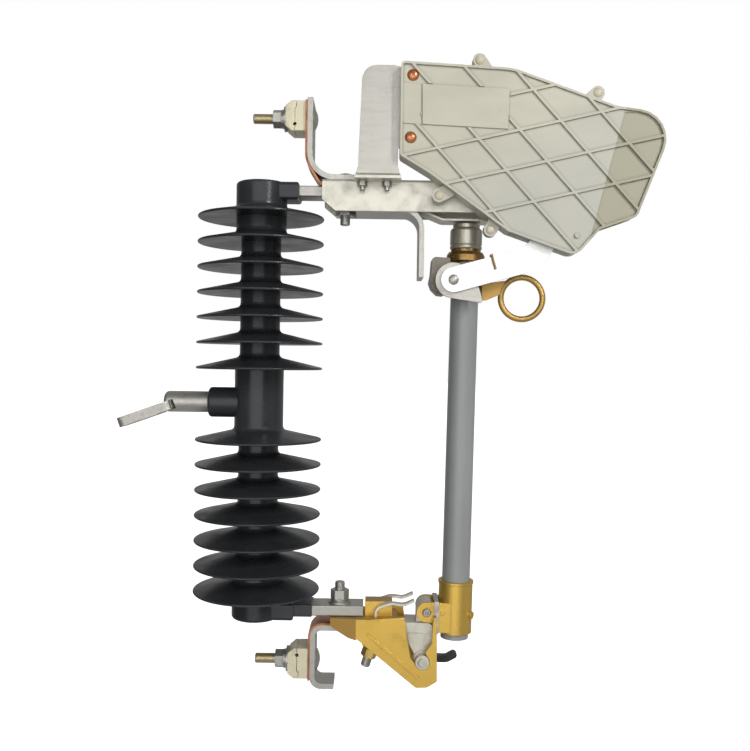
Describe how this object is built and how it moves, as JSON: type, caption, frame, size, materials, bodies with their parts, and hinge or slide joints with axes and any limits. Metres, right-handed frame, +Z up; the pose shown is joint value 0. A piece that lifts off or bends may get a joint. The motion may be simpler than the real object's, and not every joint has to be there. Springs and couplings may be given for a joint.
{
  "type": "dropout fuse cutout",
  "caption": "Shedded rubber insulator with end terminals, a flat load-break arc chute and a fuse tube that swings down on an open hinge.",
  "frame": {"origin": "centre of the bolt hole on the lower face of the mounting strap", "axes": "+Z up along the insulator, +X from the mounting strap past the insulator to the fuse holder, +Y completes the set, away from the arc chute"},
  "size_m": [0.5256, 0.1248, 0.6174],
  "materials": {
    "grey_rubber": "satin moulded silicone rubber",
    "galvanised": "hot-dip galvanised, lightly stained",
    "tinned": "tin plated, bright",
    "cast_bronze": "as cast",
    "cast_bronze_pale": "as cast, tinned",
    "turned_brass": "machined",
    "chute_plastic": "moulded fibre-filled plastic",
    "nylon": "moulded",
    "copper": "dull copper",
    "tube_fibre": "painted fibre tube, satin",
    "yellow_zinc": "yellow passivated zinc",
    "spring_steel": "bright",
    "dark_steel": "dark oxide"
  },
  "bodies": {
    "frame": {"insulator_housing": "grey_rubber", "top_end_bar": "galvanised", "bottom_end_bar": "galvanised", "mounting_stub": "galvanised", "mounting_strap": "galvanised", "upper_channel": "tinned", "channel_bolt": "galvanised", "channel_nut": "galvanised", "top_terminal_bar": "galvanised", "top_copper_strip": "copper", "top_connector_base": "cast_bronze_pale", "top_connector_keeper": "cast_bronze_pale", "top_connector_bolt": "galvanised", "top_connector_nut": "galvanised", "chute_bracket": "galvanised", "bracket_bolts": "galvanised", "chute_front_shell": "chute_plastic", "chute_back_shell": "chute_plastic", "chute_bolts": "nylon", "chute_rivets": "copper", "stop_arm": "galvanised", "contact_spring": "tinned", "hinge_casting": "cast_bronze", "hinge_contacts": "tinned", "hinge_bolt": "galvanised", "hinge_nut": "yellow_zinc", "bottom_bolt": "galvanised", "bottom_nut": "galvanised", "bottom_terminal_bar": "galvanised", "bottom_copper_strip": "copper", "bottom_connector_base": "cast_bronze_pale", "bottom_connector_keeper": "cast_bronze_pale", "bottom_connector_bolt": "galvanised", "bottom_connector_nut": "galvanised"},
    "holder": {"fuse_tube": "tube_fibre", "upper_casting": "cast_bronze_pale", "brass_ferrule": "turned_brass", "contact_cap": "tinned", "blade_yoke": "galvanised", "load_break_blade": "galvanised", "blade_pin": "galvanised", "pull_ring": "cast_bronze", "lower_casting": "cast_bronze", "toggle_pin": "galvanised", "retaining_band": "spring_steel", "trunnion_casting": "tinned"},
    "flipper": {"flipper": "dark_steel"}
  },
  "joints": [
    {"name": "holder_dropout", "type": "hinge", "parent": "frame", "child": "holder", "pos_m": [0.28368, 0, -0.22994], "axis": [0, 1, 0], "range_deg": [0, 165]},
    {"name": "flipper_swing", "type": "hinge", "parent": "holder", "child": "flipper", "pos_m": [0.28368, 0, -0.22994], "axis": [0, 1, 0], "range_deg": [-12, 0], "stiffness_Nm_per_rad": 0.5, "springref_deg": 17.19}
  ]
}
